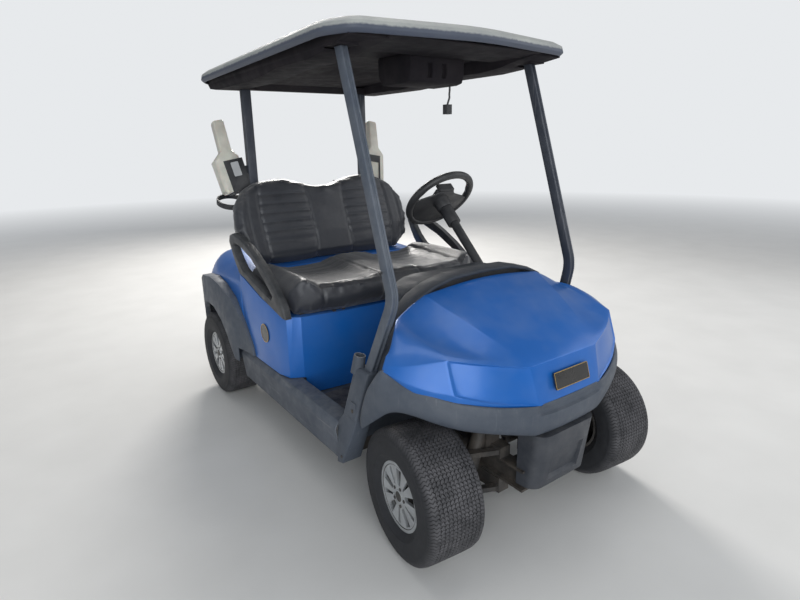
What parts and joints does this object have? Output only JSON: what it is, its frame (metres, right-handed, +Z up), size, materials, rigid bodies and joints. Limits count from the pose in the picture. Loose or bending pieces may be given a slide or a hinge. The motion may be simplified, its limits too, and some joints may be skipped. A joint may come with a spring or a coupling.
{
  "type": "golf cart",
  "caption": "Two-seat golf cart with canopy, bench seat, steered front wheels, cowl, bag well and rack, sand bottles, hip restraints and a hinged seat over the battery pack",
  "frame": {"origin": "on the ground, at the centre of the bounding box's bottom face", "axes": "+Z is up, -Y is the driving direction, +X is the driver's (left) side"},
  "size_m": [1.198, 2.318, 1.735],
  "materials": {
    "tyre": "worn black rubber",
    "wheel_silver": "silver paint, satin",
    "frame_black": "black powder coat",
    "axle_metal": "dark cast metal",
    "rack_steel": "bare steel",
    "floor_grey": "grained dark grey",
    "mat_black": "ribbed rubber",
    "trim_grey": "grained charcoal, dusty",
    "body_blue": "deep blue, glossy",
    "dash_grey": "grained grey",
    "plastic_black": "grained black",
    "strut_grey": "grey paint, satin",
    "strut_dark": "dark paint, satin",
    "seat_vinyl": "dark charcoal vinyl",
    "roof_ivory": "pale canopy moulding",
    "bottle_white": "milky plastic",
    "battery_grey": "dark battery cases",
    "plate_black": "blank dark plate",
    "wheel_grip": "grained black grip",
    "restraint_black": "black coated tube"
  },
  "bodies": {
    "cart": {"bag_rack": "frame_black", "bag_well": "plastic_black", "battery_pack": "battery_grey", "bumper_box": "plastic_black", "chassis_frame": "frame_black", "console_lead": "mat_black", "dash_cap": "dash_grey", "dashboard": "dash_grey", "firewall": "plastic_black", "floor_mat": "mat_black", "floor_pan": "floor_grey", "front_bumper": "trim_grey", "front_cowl": "body_blue", "front_strut_left": "strut_dark", "front_strut_right": "strut_grey", "front_suspension": "frame_black", "hip_restraint_left": "restraint_black", "hip_restraint_right": "restraint_black", "lead_connector": "plastic_black", "nameplate": "plate_black", "overhead_console": "plastic_black", "pedals": "frame_black", "rack_housing": "frame_black", "rear_arch_left": "trim_grey", "rear_arch_right": "trim_grey", "rear_axle": "axle_metal", "rear_body": "body_blue", "rear_bumper": "trim_grey", "rear_springs": "frame_black", "rear_strut_left": "strut_dark", "rear_strut_right": "strut_dark", "rocker_left": "trim_grey", "rocker_right": "trim_grey", "roof": "roof_ivory", "roof_liner": "plastic_black", "sand_bottle_holder_left": "plastic_black", "sand_bottle_holder_right": "plastic_black", "sand_bottle_left": "bottle_white", "sand_bottle_right": "bottle_white", "seat_back": "seat_vinyl", "seat_back_shell": "plastic_black", "seat_hinges": "frame_black", "steering_column": "plastic_black", "strut_base_left": "trim_grey", "strut_base_right": "trim_grey"},
    "steering": {"steering_wheel": "wheel_grip"},
    "rack": {"rack_bar": "rack_steel"},
    "knuckle_l": {"knuckle_left": "axle_metal"},
    "knuckle_r": {"knuckle_right": "axle_metal"},
    "wheel_fl": {"tyre_front_left": "tyre", "rim_front_left": "wheel_silver"},
    "wheel_fr": {"tyre_front_right": "tyre", "rim_front_right": "wheel_silver"},
    "wheel_rl": {"tyre_rear_left": "tyre", "rim_rear_left": "wheel_silver"},
    "wheel_rr": {"tyre_rear_right": "tyre", "rim_rear_right": "wheel_silver"},
    "seat_lid": {"seat_cushion": "seat_vinyl", "seat_pan": "plastic_black"}
  },
  "joints": [
    {"name": "steering_wheel_turn", "type": "hinge", "parent": "cart", "child": "steering", "pos_m": [0.29, -0.12, 1.078], "axis": [0, 0.7193, 0.6947], "range_deg": [-276.25, 423.75]},
    {"name": "knuckle_left_turn", "type": "hinge", "parent": "cart", "child": "knuckle_l", "pos_m": [0.34, -0.91, 0.2286], "axis": [0, 0, 1], "range_deg": [-22.1, 33.9]},
    {"name": "knuckle_right_turn", "type": "hinge", "parent": "cart", "child": "knuckle_r", "pos_m": [-0.34, -0.91, 0.2286], "axis": [0, 0, 1], "range_deg": [-22.1, 33.9]},
    {"name": "rack_slide", "type": "slide", "parent": "cart", "child": "rack", "axis": [1, 0, 0], "range_m": [-0.061, 0.04]},
    {"name": "wheel_front_left_spin", "type": "hinge", "parent": "knuckle_l", "child": "wheel_fl", "pos_m": [0.43748, -0.92007, 0.2286], "axis": [0.9947, -0.1028, 0], "continuous": true},
    {"name": "wheel_front_right_spin", "type": "hinge", "parent": "knuckle_r", "child": "wheel_fr", "pos_m": [-0.43748, -0.89993, 0.2286], "axis": [0.9947, -0.1028, 0], "continuous": true},
    {"name": "wheel_rear_left_spin", "type": "hinge", "parent": "cart", "child": "wheel_rl", "pos_m": [0.489, 0.754, 0.2286], "axis": [1, 0, 0], "continuous": true},
    {"name": "wheel_rear_right_spin", "type": "hinge", "parent": "cart", "child": "wheel_rr", "pos_m": [-0.489, 0.754, 0.2286], "axis": [1, 0, 0], "continuous": true},
    {"name": "seat_lid_hinge", "type": "hinge", "parent": "cart", "child": "seat_lid", "pos_m": [0, -0.14, 0.6515], "axis": [1, 0, 0], "range_deg": [0, 30]}
  ],
  "couplings": [
    {"joint": "knuckle_left_turn", "follows": "steering_wheel_turn", "ratio": 0.08},
    {"joint": "knuckle_right_turn", "follows": "steering_wheel_turn", "ratio": 0.08},
    {"joint": "rack_slide", "follows": "steering_wheel_turn", "m_per_rad": -0.00807}
  ]
}
